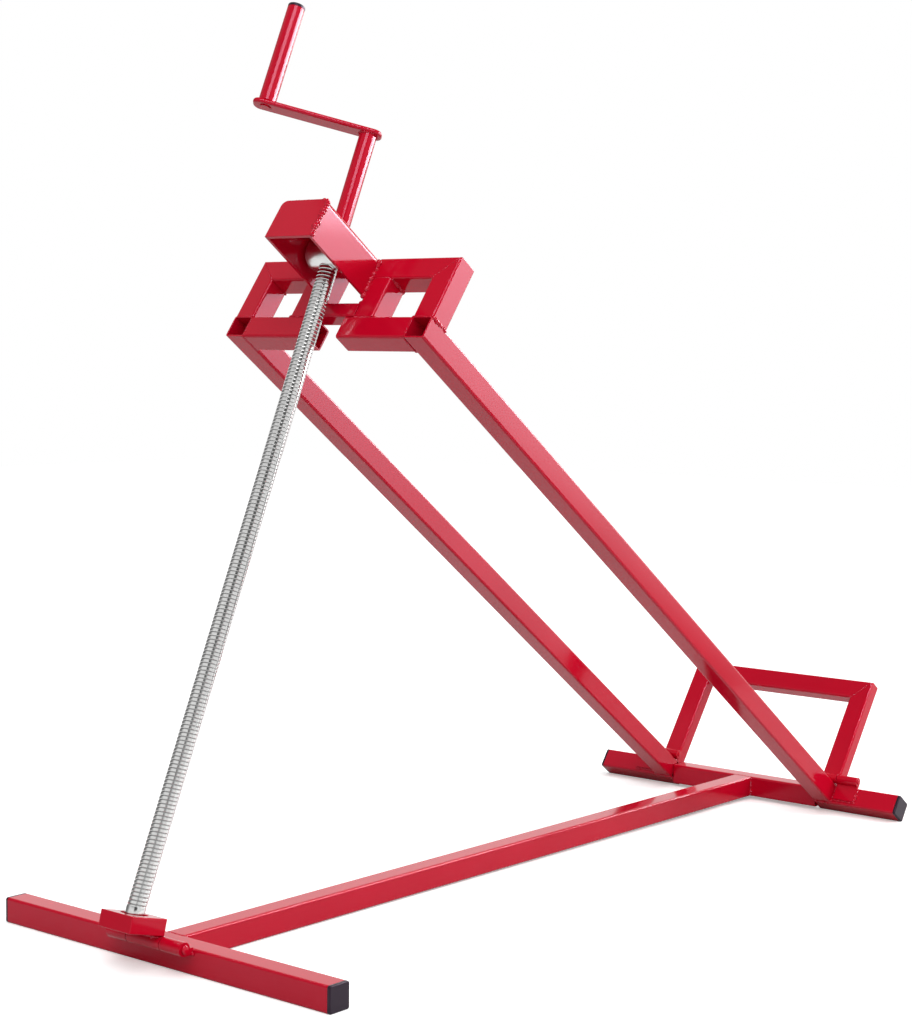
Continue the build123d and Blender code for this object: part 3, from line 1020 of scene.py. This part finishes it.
class LIFTJACK_OT_stage(bpy.types.Operator):
    """Set the floor, the lamps, the surroundings and the camera"""

    bl_idname = "lift_jack.stage"
    bl_label = "Stage"

    def execute(self, context):
        settings = context.scene.lift_jack.stage
        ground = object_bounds()[0][2]
        self.floor(settings, ground)
        self.surroundings(context.scene, settings)
        self.panel(settings, ground)
        self.lamps(settings)
        self.camera(context.scene, settings)
        context.scene.view_settings.view_transform = "Standard"
        return {"FINISHED"}

    def camera(self, scene, settings):
        """The camera at the photograph's viewing angle."""
        camera = bpy.data.objects.new("camera", bpy.data.cameras.new("camera"))
        COLLECTION.objects.link(camera)
        camera.data.sensor_fit = "VERTICAL"
        camera.data.sensor_height = 36.0
        camera.data.lens = settings.lens
        camera.location = settings.camera_place
        camera.rotation_euler = settings.camera_angles
        scene.camera = camera

    def lamps(self, settings):
        """Two soft boxes that light the object, and four that only the gloss shows."""
        middle = STAGE_MIDDLE
        over_front, over_left = (0.9, -0.665), (-1.64, -0.15)
        self.box("side_box", (1.9, 2.3, 1.3), middle, (1.0, 1.0), settings.side_light, glossy=False)
        self.box("wide_box", (0.1, 4.2, 1.6), middle, (3.4, 1.0), settings.wide_light)
        self.box("back_box", (-1.7, 2.6, 0.8), middle, (2.4, 1.2), settings.back_light)
        self.box(
            "front_box", (*over_front, 2.2), (*over_front, 0.0), (1.1, 0.83), settings.front_light)
        self.box("left_box", (*over_left, 2.0), (*over_left, 0.0), (1.1, 0.6), settings.left_light)
        self.box("key_box", (1.5, -1.5, 2.6), middle, (1.6, 1.6), settings.key_light, glossy=False)

    def floor(self, settings, height):
        """The floor that the object stands on."""
        deselect()
        bpy.ops.mesh.primitive_plane_add(size=FLOOR_SIZE, location=(0.0, 0.6, height))
        floor = bpy.context.object
        bpy.ops.object.transform_apply(location=True, rotation=True, scale=True)
        floor.name = "floor"
        floor.data.materials.append(floor_material(settings))
        floor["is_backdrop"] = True

    def surroundings(self, scene, settings):
        """White behind the object, soft slanted light from all round, dim gloss from the front."""
        world = bpy.data.worlds.new("studio")
        scene.world = world
        world.use_nodes = True
        world.node_tree.nodes.clear()
        field = Field(world.node_tree)
        seen, glossy, direct = [field.node("LightPath", {}, {}, kind) for kind in SEEN_RAYS]
        direction = field.node("TexCoord", {}, {}, "Generated")
        across, along, up = direction.axes("XYZ")
        gap = Vector(settings.gap)
        beside = Vector((-gap.y, gap.x, 0.0)).normalized()
        # The gap has soft sides, and fades out towards the floor and the ceiling.
        aside = field.math("ABSOLUTE", direction.dot(beside))
        dark = (1.0 - aside.ramp(0.2, 0.37)) * direction.dot(gap).ramp(0.3, 0.6)
        dark = dark * up.ramp(0.2, 0.42) * (1.0 - up.ramp(0.63, 0.77))
        left = (0.0 - across).ramp(0.4, 0.9) * (1.0 - along.ramp(0.1, 0.5))
        gloss = settings.front_dim + (1.0 - settings.front_dim) * along.ramp(0.2, 0.6)
        gloss = gloss * (1.0 - (1.0 - settings.ceiling_dim) * up.ramp(0.5, 0.85))
        gloss = gloss * (1.0 - (1.0 - settings.gap_dim) * dark)
        gloss = gloss * (1.0 - (1.0 - settings.left_dim) * left)
        other = 1.0 - seen - glossy - direct
        soft = settings.ambient + direction.dot(settings.slant)
        strength = seen + direct + glossy * gloss + other * soft
        shader = field.node("Background", {}, {"Color": WHITE, "Strength": strength})
        field.node("OutputWorld", {}, {"Surface": shader})

    def panel(self, settings, height):
        """A tall panel on the right for the gloss, bright at its top and grey low down in front."""
        deselect()
        bpy.ops.mesh.primitive_plane_add(size=1.0)
        panel = bpy.context.object
        panel.scale = (PANEL_TOP, PANEL_FAR - PANEL_NEAR, 1.0)
        panel.rotation_euler = (0.0, math.radians(-90.0), 0.0)
        panel.location = (PANEL_RIGHT, (PANEL_NEAR + PANEL_FAR) / 2, height + PANEL_TOP / 2)
        bpy.ops.object.transform_apply(location=True, rotation=True, scale=True)
        panel.name = "side_panel"
        material, field = new_material("side_panel")
        along, rise = object_coords(field).axes("YZ")
        stops = [(level, (tone, tone, tone, 1.0)) for level, tone in PANEL_TONES]
        tone = field.node("ValToRGB", {"stops": stops}, {"Fac": rise})
        from_corner = rise + PANEL_CORNER_SLOPE * along
        lit = from_corner.ramp(PANEL_CORNER_END, PANEL_LIGHT_START)
        surface(field, {
            "Base Color": BLACK,
            "Specular IOR Level": 0.0,
            "Emission Color": field.mix(lit, PANEL_CORNER, tone),
            "Emission Strength": settings.panel_light,
        })
        panel.data.materials.append(material)
        panel.visible_camera = panel.visible_diffuse = panel.visible_shadow = False
        panel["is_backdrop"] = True

    def box(self, name, place, aim, size, brightness, glossy=True):
        """A soft box, for the gloss alone or for all else, its brightness given against white."""
        light = bpy.data.lights.new(name, "AREA")
        light.shape = "RECTANGLE"
        light.size, light.size_y = size
        light.energy = math.pi * size[0] * size[1] * brightness
        lamp = bpy.data.objects.new(name, light)
        COLLECTION.objects.link(lamp)
        lamp.location = place
        lamp.rotation_euler = (Vector(aim) - Vector(place)).to_track_quat("-Z", "Y").to_euler()
        lamp.visible_camera = False
        lamp.visible_diffuse = not glossy
        lamp.visible_glossy = glossy


OPERATORS = (
    LIFTJACK_OT_finishes,
    LIFTJACK_OT_screw,
    LIFTJACK_OT_crank,
    LIFTJACK_OT_base_welds,
    LIFTJACK_OT_frame_welds,
    LIFTJACK_OT_stop_welds,
    LIFTJACK_OT_block_welds,
    LIFTJACK_OT_crank_weld,
    LIFTJACK_OT_stage,
)


class LIFTJACK_PT_panel(bpy.types.Panel):
    """Sidebar panel with the pieces of the lift jack"""

    bl_label = "Lift Jack"
    bl_idname = "LIFTJACK_PT_panel"
    bl_space_type = "VIEW_3D"
    bl_region_type = "UI"
    bl_category = "Lift Jack"

    def draw(self, context):
        settings = context.scene.lift_jack
        groups = (settings.screw, settings.crank, settings.weld, settings.finish, settings.stage)
        for group in groups:
            box = self.layout.box()
            for name in group.__annotations__:
                box.prop(group, name)
        for operator in OPERATORS:
            self.layout.operator(operator.bl_idname)


CLASSES = (
    LiftScrewSettings,
    LiftCrankSettings,
    LiftWeldSettings,
    LiftFinishSettings,
    LiftStageSettings,
    LiftJackSettings,
) + OPERATORS + (LIFTJACK_PT_panel,)


def register():
    for cls in CLASSES:
        bpy.utils.register_class(cls)
    bpy.types.Scene.lift_jack = bpy.props.PointerProperty(type=LiftJackSettings)


def unregister():
    del bpy.types.Scene.lift_jack
    for cls in reversed(CLASSES):
        bpy.utils.unregister_class(cls)


def main():
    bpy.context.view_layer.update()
    register()
    bpy.ops.lift_jack.finishes()
    bpy.ops.lift_jack.screw()
    bpy.ops.lift_jack.crank()
    bpy.ops.lift_jack.base_welds()
    bpy.ops.lift_jack.frame_welds()
    bpy.ops.lift_jack.stop_welds()
    bpy.ops.lift_jack.block_welds()
    bpy.ops.lift_jack.crank_weld()
    bpy.ops.lift_jack.stage()


if __name__ == "__main__":
    main()
